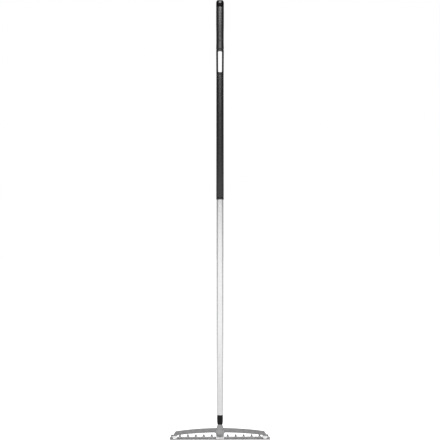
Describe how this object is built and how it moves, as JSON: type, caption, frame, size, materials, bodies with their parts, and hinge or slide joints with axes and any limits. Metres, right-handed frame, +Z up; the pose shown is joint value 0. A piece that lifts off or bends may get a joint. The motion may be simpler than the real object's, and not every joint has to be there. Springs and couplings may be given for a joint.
{
  "type": "soil rake",
  "caption": "Long-handled soil rake: arched steel head with a straight levelling edge and curved tines, aluminium shaft, sleeve, hanging slot and soft grip.",
  "frame": {"origin": "top of the hanging slot, on the shaft's axis, where a hook bears", "axes": "+Z up the shaft toward the end cap, +X along the head, +Y the way the tines point; the straight levelling edge faces -Y"},
  "size_m": [0.374, 0.0829, 1.64],
  "materials": {
    "satin_steel": "satin grey steel, lightly grained",
    "weld_metal": "dull rippled weld metal",
    "satin_aluminium": "satin anodised, drawn along the tube",
    "hard_black": "fine moulded grain",
    "soft_black": "soft matt overmould",
    "gloss_black": "glossy"
  },
  "bodies": {
    "root": {"tine_comb": "satin_steel", "spine_bar": "satin_steel", "bow_frame": "satin_steel", "socket_tang": "satin_steel", "weld_foot_left": "weld_metal", "weld_foot_centre": "weld_metal", "weld_foot_right": "weld_metal", "weld_palm_left": "weld_metal", "weld_palm_right": "weld_metal", "weld_spine_1": "weld_metal", "weld_spine_2": "weld_metal", "weld_spine_3": "weld_metal", "weld_spine_4": "weld_metal", "ferrule": "hard_black", "tang_rivet": "satin_aluminium", "shaft_tube": "satin_aluminium", "sleeve_collar": "hard_black", "grip_sleeve": "hard_black", "hanger_frame": "hard_black", "hanger_pin": "satin_steel", "soft_grip": "soft_black", "end_cap": "gloss_black"}
  },
  "joints": []
}
